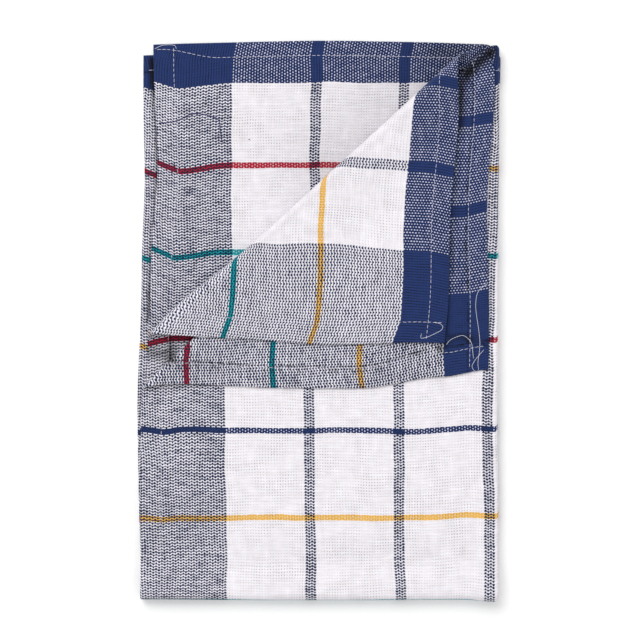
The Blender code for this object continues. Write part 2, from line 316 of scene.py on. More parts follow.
def fold_lengthwise(across, offset):
    """(distance right of the crease, height over the outer layer, gap of the pair).

    offset is the distance from the cloth's middle surface towards its right side, which is
    outside this fold.
    """
    radius = pair_gap(0.0) / 2
    bend = min(max(across / radius, -math.pi / 2), math.pi / 2)
    past = abs(across - bend * radius)
    right = (radius + offset) * math.cos(bend) - radius - past
    gap = pair_gap(past)
    swing = (1.0 - math.sin(bend)) / 2
    height = swing * gap - offset * math.sin(bend)
    return right, height, gap


def fold_crosswise(along, height, middle_height, gap):
    """(y, z) of a point at this height over the outer layer of its half."""
    centre_z = CLOTH_THICKNESS / 2 + gap + CROSS_FOLD_INNER_RADIUS
    middle_radius = gap + CROSS_FOLD_INNER_RADIUS - middle_height
    bend = min(max(along / middle_radius, -math.pi / 2), math.pi / 2)
    past = abs(along - bend * middle_radius)
    radius = gap + CROSS_FOLD_INNER_RADIUS - height
    y = CROSS_FOLD_CENTRE_Y - radius * math.cos(bend) + past
    z = centre_z + radius * math.sin(bend)
    if along > 0:
        z -= CROSS_BULGE - upper_lift(past)
    return y, z


def upper_pair_gap(x, y):
    """Height between the upper half's two layers at this place on the folded towel."""
    crease_x = row_at(OUTLINE, y - CROSS_FOLD_CENTRE_Y).crease_x
    return pair_gap(max(crease_x - pair_gap(0.0) / 2 - x, 0.0))


def upper_half_height(x, y):
    """Middle surface of the upper half's outer layer, before the corner is turned back."""
    layers_below = 2 * upper_pair_gap(x, y) + RIGHT_SIDES_PITCH
    from_fold = max(y - CROSS_FOLD_CENTRE_Y, 0.0)
    return CLOTH_THICKNESS / 2 + layers_below + upper_lift(from_fold)


def turn_axes(turn):
    """(toe, length, unit vector from toe to head, unit vector from the roll to the corner)."""
    toe = Vector((turn.toe_x, turn.toe_y))
    run = Vector((turn.head_x, turn.head_y)) - toe
    forward = run.normalized()
    return toe, run.length, forward, Vector((-forward.y, forward.x))


def roll_place(turn, x, y):
    """(share of the way from toe to head, distance past the line that the cloth mirrors on)."""
    toe, length, forward, outward = turn_axes(turn)
    from_toe = Vector((x, y)) - toe
    return from_toe.dot(forward) / length, from_toe.dot(outward)


def loop_height(turn, share):
    return blend(turn.toe_loop, turn.head_loop, ease(share))


def loop_reach(turn, share):
    """How far the loop sticks out past the start of its bend: it is pointed near its toe."""
    pointed = turn.toe_point * bell((share - TOE_POINT_SHARE) / TOE_POINT_SPREAD)
    slack = turn.slack * faded_in(share, SLACK_ALONG_ROLL)
    return loop_height(turn, share) / 2 + pointed - slack


def outer_flap_rise(x, y):
    """Height of the turned-back outer layer over the unturned one."""
    share, past = roll_place(OUTER_LAYER_TURN, x, y)
    loop = loop_height(OUTER_LAYER_TURN, share)
    return blend(loop, RIGHT_SIDES_PITCH, ease(-past / ROLL_SETTLES_IN))


def inner_flap_rise(x, y):
    """Height of the turned-back inner layer, on top, over the unturned outer layer."""
    share, past = roll_place(INNER_LAYER_TURN, x, y)
    loop = loop_height(INNER_LAYER_TURN, share)
    under = loop_height(OUTER_LAYER_TURN, share) + WRONG_SIDES_PITCH
    resting = outer_flap_rise(x, y) + WRONG_SIDES_PITCH
    spare = max(loop - WRONG_SIDES_PITCH - under, 0.0)
    return resting + spare * (1.0 - ease(-past / ROLL_SETTLES_IN))


def turn_back_corner(x, y, z, offset, turn, is_inner):
    """Rolls a point of the upper half over, if it lies past the turned-back corner's fold.

    z and the answer include offset, the distance above the layer's middle surface.
    """
    share, past_mirror = roll_place(turn, x, y)
    flap_rise = inner_flap_rise if is_inner else outer_flap_rise
    radius = loop_height(turn, share) / 2
    past = past_mirror + math.pi * radius / 2
    if past <= 0.0:
        return x, y, z
    _, length, forward, outward = turn_axes(turn)
    start = Vector((x, y)) - past * outward
    bend = min(past / radius, math.pi)
    beyond = past - bend * radius
    reach = loop_reach(turn, share) * math.sin(bend) - beyond * (1.0 - BIAS_SHRINK)
    stretch = BIAS_STRETCH * ease(beyond / BIAS_STRETCH_REACH)
    slip = stretch * (share - BIAS_STRETCH_MIDDLE) * length
    middle = start + reach * outward + slip * forward
    normal_out = -offset * math.sin(bend)
    normal_up = offset * math.cos(bend)
    layer_z = upper_half_height(middle.x, middle.y)
    low = layer_z - (upper_pair_gap(middle.x, middle.y) if is_inner else 0.0)
    high = layer_z + flap_rise(middle.x, middle.y)
    turned = (1.0 - math.cos(bend)) / 2
    place = middle + normal_out * outward
    return place.x, place.y, blend(low, high, turned) + normal_up


def folded(across, along, offset):
    """Where a point of the flat cloth ends up, this far from its middle towards its right side."""
    across, along = pulled(across, along)
    right, height, gap = fold_lengthwise(across, offset)
    _, middle_height, _ = fold_lengthwise(across, 0.0)
    y, z = fold_crosswise(along, height, middle_height, gap)
    x = row_at(OUTLINE, along).crease_x + right
    if along > 0:
        is_inner = across < 0
        turn = INNER_LAYER_TURN if is_inner else OUTER_LAYER_TURN
        _, past = roll_place(turn, x, y)
        x, y, z = turn_back_corner(x, y, z, -offset if is_inner else offset, turn, is_inner)
        width, length = cloth_reach(across, along)
        inside = min(width - abs(across), length - along)
        z -= EDGE_DROOP * ease(past / EDGE_DROOP_REACH) * (1.0 - ease(inside / EDGE_DROOP_REACH))
    return settled(x, y, z)


# Soft unevenness of the stack. Each row is a ridge or a trough that runs from its start to its
# end; it fades out to both sides over its width, and a trough's height is negative.
SoftFold = collections.namedtuple("SoftFold", "start_x start_y end_x end_y width height")
SOFT_FOLDS = (
    SoftFold(-60.0, -148.0, 112.0, -146.0, 9.0, -0.8),
    SoftFold(-60.0, -160.0, 112.0, -160.0, 7.0, 0.5),
    SoftFold(41.0, 126.0, 42.0, 150.0, 6.0, -0.7),
    SoftFold(-5.0, 148.0, -14.0, 110.0, 9.0, -0.7),
    SoftFold(10.0, 69.5, 52.0, 69.0, 5.0, -0.4),
    SoftFold(106.0, 168.0, 91.5, 150.0, 4.2, -3.0),
    SoftFold(91.0, 147.0, 91.5, 128.0, 3.4, -2.0),
    SoftFold(80.0, 163.5, 106.0, 173.5, 3.0, 1.2),
)
STACK_HEIGHT = 7.0
EDGE_DROOP = 0.45
EDGE_DROOP_REACH = 6.0
UNEVEN_REACH = 42.0
UNEVEN_HEIGHT = 0.45
WANDER_REACH = 60.0
WANDER = 0.5
WANDER_SEED = 26
WANDER_BETWEEN_LAYERS = 2.0
SOFT_FOLD_TAPER = 0.3


def soft_fold_height(fold, x, y):
    start = Vector((fold.start_x, fold.start_y))
    run = Vector((fold.end_x, fold.end_y)) - start
    from_start = Vector((x, y)) - start
    share = from_start.dot(run) / run.length_squared
    aside = abs(run.normalized().cross(from_start))
    starts = ease(share / SOFT_FOLD_TAPER + 0.5)
    ends = ease((1.0 - share) / SOFT_FOLD_TAPER + 0.5)
    return fold.height * starts * ends * bell(aside / fold.width)


def settled(x, y, z):
    """The soft unevenness of cloth that lies loose: most on top, none on the table."""
    lift = sum(soft_fold_height(fold, x, y) for fold in SOFT_FOLDS)
    spot = Vector((x, y, 0.0)) / UNEVEN_REACH
    lift += UNEVEN_HEIGHT * noise.noise(spot)
    z += lift * ease(z / STACK_HEIGHT)
    spot = Vector((x, y, z * WANDER_BETWEEN_LAYERS)) / WANDER_REACH
    drift = noise.noise_vector(spot)
    x += WANDER * drift.x
    y += WANDER * drift.y
    return on_table(x, y, z)


def on_table(x, y, z):
    """A place in the folds' own coordinates, in metres from the middle of the towel's box."""
    return Vector((x - BOX_MIDDLE_X, y - BOX_MIDDLE_Y, z)) * MM


def hem_spread(across, along):
    """How much wider the turned-back outer layer's side hem gets towards its corner."""
    if across < 0:
        return 0.0
    return CORNER_HEM_SPREAD * faded_in(along, CORNER_SPREAD_ALONG)


def surface_offset(across, along, is_right_side):
    """Distance of a side of the cloth from its middle surface, towards its right side."""
    width, length = cloth_reach(across, along)
    inside = min(width - abs(across), length - abs(along))
    side_depth, end_depth = hem_depths(across, along)
    ramp = HEM_RAMP / SIDE_HEM_WIDTH
    hem = ease(max(side_depth, end_depth) / ramp)
    half = CLOTH_THICKNESS / 2
    top, bottom = half, -half - HEM_EXTRA_THICKNESS * hem
    middle = (top + bottom) / 2
    from_edge = min(max(inside, 0.0) / EDGE_ROUNDING, 1.0)
    roundness = blend(EDGE_BLUNTNESS, 1.0, math.sqrt(1.0 - (1.0 - from_edge) ** 2))
    return middle + ((top if is_right_side else bottom) - middle) * roundness


def pattern_place(across, along):
    """Where a point of the cloth lies in the woven pattern, from the pattern's middle."""
    side_depth, end_depth = hem_depths(across, along)
    width, _ = cloth_reach(across, along)
    from_stitches = width - SIDE_HEM_WIDTH - abs(across)
    seam = row_at(SEAMS, along)
    if across < 0:
        sag, drag, reach = seam.inner_sag, seam.inner_drag, INNER_SAG_REACH
    else:
        sag, drag, reach = seam.outer_sag, seam.outer_drag, OUTER_SAG_REACH
    seam_shift = sag * (1.0 - ease(from_stitches / reach)) + drag * side_depth
    lift = blend(CREASE_LIFT_BOTTOM, CREASE_LIFT_TOP, faded_in(along, CREASE_LIFT_EASES))
    lift *= faded_in(along, CREASE_LIFT_ALONG) * (1.0 - ease(abs(across) / CREASE_LIFT_REACH))
    end_drag = LOWER_END_HEM_DRAG if along < 0 else UPPER_END_HEM_DRAG
    in_upper_half = faded_in(along, WEFT_OFFSET_CHANGE)
    weft_offset = blend(LOWER_WEFT_OFFSET, UPPER_WEFT_OFFSET, in_upper_half)
    in_corner = faded_in(along, CORNER_SKEW_ALONG) * faded_in(across, CORNER_SKEW_ACROSS)
    from_warp_middle = across + row_at(GRAIN_DRIFT, along).drift + WARP_OFFSET
    from_warp_middle += CORNER_SKEW * in_corner
    return from_warp_middle + end_drag * end_depth, along + weft_offset + seam_shift - lift


def steps(start, end, longest):
    """Even places from start to end, without the end, no further apart than longest."""
    count = max(math.ceil(abs(end - start) / longest), 1)
    return [blend(start, end, index / count) for index in range(count)]


def half_places(bend_reach, bulge_reach, hem_width, length):
    """Places to divide one half of the cloth at, from its crease out to its edge."""
    hem_inner = length - hem_width
    places = steps(0.0, bend_reach, CREASE_STEP)
    places += steps(bend_reach, bulge_reach, BULGE_STEP)
    places += steps(bulge_reach, hem_inner, PLAIN_STEP)
    places += steps(hem_inner, hem_inner + HEM_RAMP, HEM_RAMP / 3)
    places += steps(hem_inner + HEM_RAMP, length - EDGE_ROUNDING, HEM_STEP)
    return places + [length - place for place in EDGE_PLACES]


ON_CLOTH = "on_cloth"


def flat_cloth():
    """The cloth laid out as it was pulled, divided finely, with edges along both rolls.

    Each vertex keeps its place on the unpulled cloth.
    """
    crease_reach = math.pi * pair_gap(0.0) / 4
    cross_reach = cross_fold_arc(0.0)
    sideways = half_places(crease_reach, CREASE_BULGE_REACH, SIDE_HEM_WIDTH, NOMINAL_HALF_WIDTH)
    upward = half_places(cross_reach, CROSS_BULGE_REACH, UPPER_END_HEM_WIDTH, UPPER_LENGTH)
    downward = half_places(cross_reach, CROSS_BULGE_REACH, LOWER_END_HEM_WIDTH, LOWER_LENGTH)
    columns = [-place for place in reversed(sideways[1:])] + sideways
    rows = [-place for place in reversed(downward[1:])] + upward

    flat = bmesh.new()
    on_cloth = flat.verts.layers.float_vector.new(ON_CLOTH)
    grid = []
    for along in rows:
        nominal_length = LOWER_LENGTH if along < 0 else UPPER_LENGTH
        line = []
        for across in columns:
            width, length = cloth_reach(across, along)
            x = stretched(across, NOMINAL_HALF_WIDTH, width, SIDE_HEM_WIDTH)
            y = stretched(along, nominal_length, length, end_hem_width(along))
            vert = flat.verts.new((*pulled(x, y), 0.0))
            vert[on_cloth] = (x, y, 0.0)
            line.append(vert)
        grid.append(line)
    for low, high in zip(grid, grid[1:]):
        for left in range(len(columns) - 1):
            flat.faces.new((low[left], low[left + 1], high[left + 1], high[left]))

    score_turn(flat, INNER_LAYER_TURN, -1.0)
    score_turn(flat, OUTER_LAYER_TURN, 1.0)
    return flat


def stretched(place, nominal, reach, hem_width):
    """Moves a nominal place so that the edge is at reach. A hem keeps its width."""
    hem_inner = nominal - hem_width
    share = min(abs(place) / hem_inner, 1.0)
    return math.copysign(abs(place) + (reach - nominal) * share, place)


def cross_fold_arc(middle_height):
    """Cloth from the crosswise crease to where a layer of the pair lies straight again."""
    return math.pi * (WRONG_SIDES_PITCH + CROSS_FOLD_INNER_RADIUS - middle_height) / 2


def score_turn(flat, turn, side):
    """Cuts edges along the roll of a turned-back layer, which lies on this side of the crease."""
    arc = cross_fold_arc(WRONG_SIDES_PITCH if side < 0 else 0.0)

    def flat_place(place):
        across = side * (row_at(OUTLINE, UPPER_LENGTH / 2).crease_x - place.x)
        return Vector((across, place.y - CROSS_FOLD_CENTRE_Y + arc))

    toe, length, forward, outward = turn_axes(turn)
    head = toe + length * forward
    for cut in range(-1, ROLL_CUTS + 2):
        past = cut / ROLL_CUTS - 0.5
        start = flat_place(toe + outward * past * math.pi * turn.toe_loop / 2)
        end = flat_place(head + outward * past * math.pi * turn.head_loop / 2)
        run = (end - start).normalized()
        faces = [
            face
            for face in flat.faces
            if face.calc_center_median().x * side > 0 and face.calc_center_median().y > 0
        ]
        edges = {edge for face in faces for edge in face.edges}
        verts = {vert for face in faces for vert in face.verts}
        bmesh.ops.bisect_plane(
            flat,
            geom=[*verts, *edges, *faces],
            dist=CUT_SNAP,
            plane_co=(*start, 0.0),
            plane_no=(-run.y, run.x, 0.0),
        )


NO_HEM_EDGE = (-100.0, -100.0)

# Painted shade: darkening stored on the cloth's vertices and multiplied into its colour. Most
# strokes stand for shade in hollows too narrow for the cloth's own thickness to shape, where next
# to no light reaches; broad, faint ones darken wider stretches of a layer. Each lies on one side
# of some quarters of the cloth, and is a line of places on the folded towel. A sheet says whether
# the quarter is inner, whether it is lower, and whether it is the right side.
PaintedShade = collections.namedtuple("PaintedShade", "sheets half_width depth points")
UPPER_SIDES = ((True, False, False), (False, False, False), (True, False, True), (False, False, True))
UPPER_WRONG_SIDES = ((True, False, False), (False, False, False))
UPPER_INNER_RIGHT_SIDE = ((True, False, True),)
LOWER_OUTER_WRONG_SIDE = ((False, True, False),)
UPPER_OUTER_WRONG_SIDE = ((False, False, False),)
LOWER_INNER_RIGHT_SIDE = ((True, True, True),)
UPPER_OUTER_RIGHT_SIDE = ((False, False, True),)
PAINTED_SHADES = (
    PaintedShade(
        UPPER_SIDES, 4.2, 0.95,
        ((108.6, 169.1), (104.6, 165.6), (98.3, 160.0), (93.0, 155.2)),
    ),
    PaintedShade(
        UPPER_WRONG_SIDES, 2.8, 0.88,
        ((94.0, 156.0), (90.2, 149.6), (89.4, 143.1), (88.6, 133.0), (87.5, 121.0)),
    ),
    PaintedShade(UPPER_WRONG_SIDES, 1.8, 0.5, ((87.5, 122.0), (84.0, 67.7), (80.6, 19.4), (79.6, -8.0))),
    PaintedShade(LOWER_OUTER_WRONG_SIDE, 1.7, 0.92, ((-105.3, 165.5), (-104.9, 148.0))),
    PaintedShade(
        LOWER_OUTER_WRONG_SIDE, 1.5, 0.88,
        (
            (-104.4, 164.9), (-104.1, 149.2), (-102.5, 129.8), (-100.9, 102.2), (-101.6, 87.8),
            (-102.5, 71.5), (-103.1, 57.1), (-104.4, 42.0), (-105.7, 25.7), (-107.2, 0.6),
        ),
    ),
    PaintedShade(
        UPPER_OUTER_WRONG_SIDE, 1.9, 0.8,
        ((76.2, -19.0), (77.4, -15.7), (79.9, -13.5), (83.7, -11.6), (90.0, -10.3), (95.0, -10.6)),
    ),
    PaintedShade(UPPER_OUTER_WRONG_SIDE, 1.8, 0.4, ((94.0, -11.9), (106.9, -12.5))),
    PaintedShade(UPPER_OUTER_WRONG_SIDE, 0.6, 0.8, ((92.5, 50.8), (92.5, -9.5))),
    PaintedShade(UPPER_WRONG_SIDES, 2.4, 0.75, ((-92.6, -15.0), (-92.6, -24.5))),
    PaintedShade(UPPER_WRONG_SIDES, 5.0, 0.62, ((-104.4, -19.4), (-93.1, -22.0))),
    PaintedShade(UPPER_INNER_RIGHT_SIDE, 4.5, 0.1, ((-42.9, 44.5), (66.2, 147.4))),
    PaintedShade(LOWER_INNER_RIGHT_SIDE, 26.0, 0.15, ((7.2, 97.8), (76.2, 163.6))),
    PaintedShade(LOWER_INNER_RIGHT_SIDE, 50.0, 0.07, ((-25.0, 110.0), (40.0, 155.0))),
    PaintedShade(LOWER_INNER_RIGHT_SIDE, 7.0, 0.35, ((74.0, 168.7), (106.0, 170.5))),
    PaintedShade(UPPER_OUTER_RIGHT_SIDE, 8.0, 0.06, ((-55.5, -149.9), (107.5, -149.9))),
)
PAINTED_SHADE = "painted_shade"


def from_line(points, place):
    """Distance of a place from a line through points."""
    nearest = math.inf
    for start, end in zip(points, points[1:]):
        start, end = Vector(start), Vector(end)
        run = end - start
        share = min(max((place - start).dot(run) / run.length_squared, 0.0), 1.0)
        nearest = min(nearest, (place - start - share * run).length)
    return nearest


def painted_shade_at(sheet, spot):
    """How much painted shade darkens a spot of this side of the cloth, 0 to 1."""
    place = Vector((spot.x / MM + BOX_MIDDLE_X, spot.y / MM + BOX_MIDDLE_Y))
    lit = 1.0
    for shade_stroke in PAINTED_SHADES:
        if sheet in shade_stroke.sheets:
            away = from_line(shade_stroke.points, place)
            lit *= 1.0 - shade_stroke.depth * bell(away / shade_stroke.half_width)
    return 1.0 - lit


def folded_cloth(flat):
    """Folds both sides of the flat cloth and closes it along its edge."""
    on_cloth = flat.verts.layers.float_vector[ON_CLOTH]
    cloth = bmesh.new()
    pattern = cloth.loops.layers.uv.new("cloth")
    hem = cloth.loops.layers.uv.new("hem")
    painted_shade = cloth.verts.layers.float.new(PAINTED_SHADE)
    sides = {}
    pattern_places = {}
    hem_places = {}
    for vert in flat.verts:
        across, along, _ = vert[on_cloth]
        pattern_places[vert] = pattern_place(across, along)
        width, length = cloth_reach(across, along)
        past_side_edge = abs(across) - (width - SIDE_HEM_WIDTH) + hem_spread(across, along)
        past_end_edge = abs(along) - (length - end_hem_width(along))
        hem_places[vert] = (past_side_edge, past_end_edge)
        for is_right_side in (True, False):
            offset = surface_offset(across, along, is_right_side)
            spot = folded(across, along, offset)
            side_vert = cloth.verts.new(spot)
            # Painted shade for this side of the cloth at this spot.
            side_vert[painted_shade] = painted_shade_at((across < 0, along < 0, is_right_side), spot)
            sides[vert, is_right_side] = side_vert

    def add_face(corners):
        face = cloth.faces.new([sides[corner] for corner in corners])
        face.smooth = True
        shows_hem_edge = not any(is_right_side for _, is_right_side in corners)
        for loop, (vert, _) in zip(face.loops, corners):
            loop[pattern].uv = pattern_places[vert]
            loop[hem].uv = hem_places[vert] if shows_hem_edge else NO_HEM_EDGE

    for face in flat.faces:
        add_face([(vert, True) for vert in reversed(face.verts)])
        add_face([(vert, False) for vert in face.verts])
    for edge in flat.edges:
        if edge.is_boundary:
            loop = edge.link_loops[0]
            first, second = loop.vert, loop.link_loop_next.vert
            add_face([(first, True), (second, True), (second, False), (first, False)])
    return cloth


THREAD_CORNERS = 6
STITCH_CORNERS = 5
TIP_SHARE = 0.45


def add_tube(tube_mesh, centres, radius, corners):
    """Adds a closed tube along these points, in metres, with thinner ends."""
    rings = []
    aside = Vector((0.0, 0.0, 1.0))
    for index, centre in enumerate(centres):
        before = centres[max(index - 1, 0)]
        after = centres[min(index + 1, len(centres) - 1)]
        forward = (after - before).normalized()
        aside = (aside - aside.dot(forward) * forward).normalized()
        up = forward.cross(aside)
        is_tip = index in (0, len(centres) - 1)
        size = radius * (TIP_SHARE if is_tip else 1.0)
        ring = []
        for corner in range(corners):
            turn = 2 * math.pi * corner / corners
            out = aside * math.cos(turn) + up * math.sin(turn)
            ring.append(tube_mesh.verts.new(centre + out * size))
        rings.append(ring)
    for low, high in zip(rings, rings[1:]):
        for corner in range(corners):
            after = (corner + 1) % corners
            face = tube_mesh.faces.new((low[corner], low[after], high[after], high[corner]))
            face.smooth = True
    tube_mesh.faces.new(reversed(rings[0]))
    tube_mesh.faces.new(rings[-1])


def placed(name, data):
    """A new object in the scene."""
    made = bpy.data.objects.new(name, data)
    bpy.context.scene.collection.objects.link(made)
    return made


def add_piece(name, built, material):
    """Writes what was built to the mesh of a new object."""
    mesh = bpy.data.meshes.new(name)
    built.to_mesh(mesh)
    built.free()
    mesh.materials.append(material)
    return placed(name, mesh)


def hem_lines():
    """The four lines of hem stitching on the flat cloth, as functions of a share from 0 to 1."""
    def side_line(sign):
        hem_middle = sign * (NOMINAL_HALF_WIDTH - SIDE_HEM_WIDTH / 2)
        low = LINE_END_INSET - cloth_reach(hem_middle, -1.0)[1]
        high = cloth_reach(hem_middle, 1.0)[1] - LINE_END_INSET

        def place(share):
            along = blend(low, high, share)
            width, _ = cloth_reach(sign, along)
            inset = STITCH_INSET - hem_spread(sign, along) / 2
            return sign * (width - SIDE_HEM_WIDTH + inset), along
        return place, LOWER_LENGTH + UPPER_LENGTH

    def end_line(sign):
        def place(share):
            across = blend(-NOMINAL_HALF_WIDTH, NOMINAL_HALF_WIDTH, share)
            _, length = cloth_reach(across, sign)
            inset = STITCH_INSET
            if sign < 0:
                inset += SEAM_RUNS_OUT * faded_in(-across, SEAM_RUNS_OUT_ACROSS)
            along = sign * (length - end_hem_width(sign) + inset)
            width, _ = cloth_reach(across, along)
            return across * (width - LINE_END_INSET) / NOMINAL_HALF_WIDTH, along
        return place, 2 * NOMINAL_HALF_WIDTH

    return side_line(-1.0), side_line(1.0), end_line(-1.0), end_line(1.0)


def hem_stitching():
    """Lockstitches along all four hems: a short arc of thread for each, on both sides."""
    chance = random.Random(5)
    sewing = bmesh.new()
    for place, length in hem_lines():
        count = round(length / STITCH_PITCH)
        for index in range(count):
            for is_right_side in (True, False):
                start = index / count
                size = chance.uniform(STITCH_SHORTEST, STITCH_LONGEST)
                end = start + STITCH_LENGTH / length * size
                sway = chance.uniform(-STITCH_SWAY, STITCH_SWAY)
                centres = []
                for point in range(STITCH_SPANS + 1):
                    share = point / STITCH_SPANS
                    across, along = place(blend(start, end, share))
                    rise = STITCH_RISE * math.sin(math.pi * share)
                    offset = surface_offset(across, along, is_right_side)
                    offset += rise if is_right_side else -rise
                    centres.append(folded(across + sway * share, along, offset))
                add_tube(sewing, centres, STITCH_RADIUS * MM, STITCH_CORNERS)
    return sewing


# Loose ends that the camera sees. Each row is one thread, as points on the folded towel.
LOOSE_SEWING = (
    ((-103.2, 171.3), (-97.9, 173.6), (-91.0, 173.6), (-89.4, 171.3)),
    (
        (72.2, -0.9), (75.8, -1.6), (77.8, -3.4), (77.0, -5.6), (73.0, -7.9), (67.4, -10.3),
        (64.1, -10.6), (64.6, -7.9),
    ),
    (
        (105.9, 23.4), (101.1, 19.8), (99.1, 15.8), (98.5, 9.4), (99.1, 2.9), (100.3, -5.1),
        (101.1, -13.2), (100.7, -19.6), (99.9, -26.0), (100.3, -30.8),
    ),
    (
        (103.6, -18.0), (101.1, -20.8), (97.9, -24.8), (96.3, -28.1), (97.1, -30.5),
        (99.5, -32.5),
    ),
    (
        (80.2, -14.8), (82.6, -12.0), (86.6, -10.0), (90.7, -9.1), (93.8, -11.1), (95.9, -14.0),
        (96.7, -19.6), (97.1, -23.6),
    ),
)
STRAY_YARN = (
    (
        (-100.0, 124.7), (-93.9, 125.1), (-88.1, 126.6), (-79.4, 130.4), (-70.6, 129.7),
        (-63.0, 126.6), (-61.8, 119.1), (-60.5, 112.2),
    ),
    ((-44.1, 114.5), (-43.4, 114.1), (-43.2, 114.6)),
    ((57.7, 167.3), (58.5, 167.8), (59.3, 167.5)),
)
THREAD_STEP = 0.8
SEWING_RADIUS = 0.14
STRAY_RADIUS = 0.26


def curve_through(points, step):
    """Places along a smooth curve through these points, about this far apart."""
    ends = [2 * points[0] - points[1], *points, 2 * points[-1] - points[-2]]
    places = []
    for before, start, end, after in zip(ends, ends[1:], ends[2:], ends[3:]):
        count = max(round((end - start).length / step), 1)
        for index in range(count):
            share = index / count
            bow = 2 * before - 5 * start + 4 * end - after
            turn = 3 * start - before - 3 * end + after
            place = 2 * start + (end - before) * share + bow * share**2 + turn * share**3
            places.append(place / 2)
    return places + [points[-1]]


def lying_threads(threads, cloth_surface, radius):
    """Threads that lie on the cloth, bridging its small hollows."""
    made = bmesh.new()
    down = Vector((0.0, 0.0, -1.0))
    for points in threads:
        places = curve_through([Vector(point) for point in points], THREAD_STEP)
        heights = []
        for place in places:
            hit, _, _, _ = cloth_surface.ray_cast(on_table(place.x, place.y, 100.0), down)
            heights.append(hit.z + radius * MM)
        centres = []
        for index, place in enumerate(places):
            near = heights[max(index - 2, 0) : index + 3]
            height = max(heights[index], sum(near) / len(near))
            centre = on_table(place.x, place.y, 0.0)
            centre.z = height
            centres.append(centre)
        add_tube(made, centres, radius * MM, THREAD_CORNERS)
    return made


def linear(hex_colour):
    """An sRGB hex colour as linear light, with full opacity."""
    channels = [int(hex_colour[place : place + 2], 16) / 255 for place in (1, 3, 5)]
    light = [
        value / 12.92 if value <= 0.04045 else ((value + 0.055) / 1.055) ** 2.4
        for value in channels
    ]
    return (*light, 1.0)


def set_inputs(node, inputs):
    """Gives each of these inputs its value, or a link from the socket that feeds it."""
    for name, source in inputs.items():
        if isinstance(source, bpy.types.NodeSocket):
            node.id_data.links.new(source, node.inputs[name])
        else:
            node.inputs[name].default_value = source


def add_node(tree, kind, inputs, output=None, **settings):
    """Adds a node and returns one of its outputs: the one named, or else its first one in use.

    Inputs that share a name go by number.
    """
    node = tree.nodes.new("ShaderNode" + kind)
    for name, value in settings.items():
        setattr(node, name, value)
    set_inputs(node, inputs)
    if output:
        return node.outputs[output]
    return next(socket for socket in node.outputs if socket.enabled)


def new_material(name):
    """(material, its shader, the function that adds a node to it)."""
    material = bpy.data.materials.new(name)
    material.use_nodes = True
    tree = material.node_tree
    return material, tree.nodes["Principled BSDF"], functools.partial(add_node, tree)


# Yarn colours.
WHITE_WARP = linear("#E8E3E6")
WHITE_WEFT = linear("#E8E5ED")
NAVY_WARP = linear("#162446")
NAVY_WARP_IN_NAVY = linear("#223468")
WHITE_IN_NAVY = linear("#E4E9FF")
NAVY_WEFT = linear("#213568")
RED_YARN = linear("#A81C33")
TEAL_YARN = linear("#06929A")
YELLOW_YARN = linear("#E2B052")
WEFT_STRIPE_ORDER = (RED_YARN, TEAL_YARN, YELLOW_YARN, NAVY_WEFT)
WEFT_STRIPE_ORDER_START = 1.375

# How far the weave's unevenness reaches, in millimetres, and a slub's in yarns.
YarnDrift = collections.namedtuple("YarnDrift", "length amount detail")
YARN_WANDER = YarnDrift(38.0, 3.0, 1.0)
YARN_WOBBLE = YarnDrift(2.6, 0.45, 0.0)
PAIRING_LENGTH = 70.0
PICK_SLUB_LENGTH = 11.0
COLUMN_SLUB_LENGTH = 13.0
SLUB_YARNS = 1 / 0.43
GAPS_LENGTH = 14.0
CRACK_LENGTH = 9.0
CRACK_RAGGEDNESS = 1.6
PUCKER_LENGTH = 9.0
PUCKER_WIDTH = 2.4
PUCKER_SLANT = 0.6

# The quarter with the turned-back corner lies past these places of the pattern.
TURNED_QUARTER_ACROSS = -14.0
TURNED_QUARTER_ALONG = 130.0
SMOOTH = {"interpolation_type": "SMOOTHSTEP"}


def calc(node, operation, *values):
    """One step of arithmetic."""
    return node("Math", dict(enumerate(values)), operation=operation)


def remap(node, *value_and_ends, **settings):
    """Takes a value from between the first two ends to between the others, or 0 and 1."""
    return node("MapRange", dict(enumerate(value_and_ends)), **settings)


def mix(node, share, low, high, blend_type="MIX"):
    """Goes from the colour low to the colour high as the share grows."""
    return node("Mix", {0: share, 6: low, 7: high}, data_type="RGBA", blend_type=blend_type)


def spots(node, place, length, detail, output=None):
    """Noise in spots about this long."""
    return node("TexNoise", {"Vector": place, "Scale": 1 / length, "Detail": detail}, output)


def drifted(node, place):
    """(across, along) in the pattern, where this yarn would lie if it ran straight."""
    moved = place
    for drift in (YARN_WANDER, YARN_WOBBLE):
        direction = spots(node, place, drift.length, drift.detail, "Color")
        centred = node("VectorMath", {0: direction, 1: (0.5,) * 3}, operation="SUBTRACT")
        shift = {0: centred, 1: (drift.amount,) * 3, 2: moved}
        moved = node("VectorMath", shift, operation="MULTIPLY_ADD")
    axes = node("SeparateXYZ", {0: moved}).node.outputs
    return axes["X"], axes["Y"]


def count_off(node, place, size):
    """(place counted in yarns of this size, number of the yarn there, that yarn's middle)."""
    counted = calc(node, "DIVIDE", place, size)
    number = calc(node, "FLOOR", counted)
    middle = calc(node, "MULTIPLY_ADD", number, size, size / 2)
    return counted, number, middle


def stripe_and_band(node, yarn_middle, repeat, stripe_width, band_from):
    """Whether a yarn lies in one of the stripes, and whether it lies in the edge band."""
    from_stripe = calc(node, "PINGPONG", yarn_middle, repeat / 2)
    in_stripe = calc(node, "LESS_THAN", from_stripe, stripe_width / 2)
    from_middle = calc(node, "ABSOLUTE", yarn_middle)
    return in_stripe, calc(node, "GREATER_THAN", from_middle, band_from)


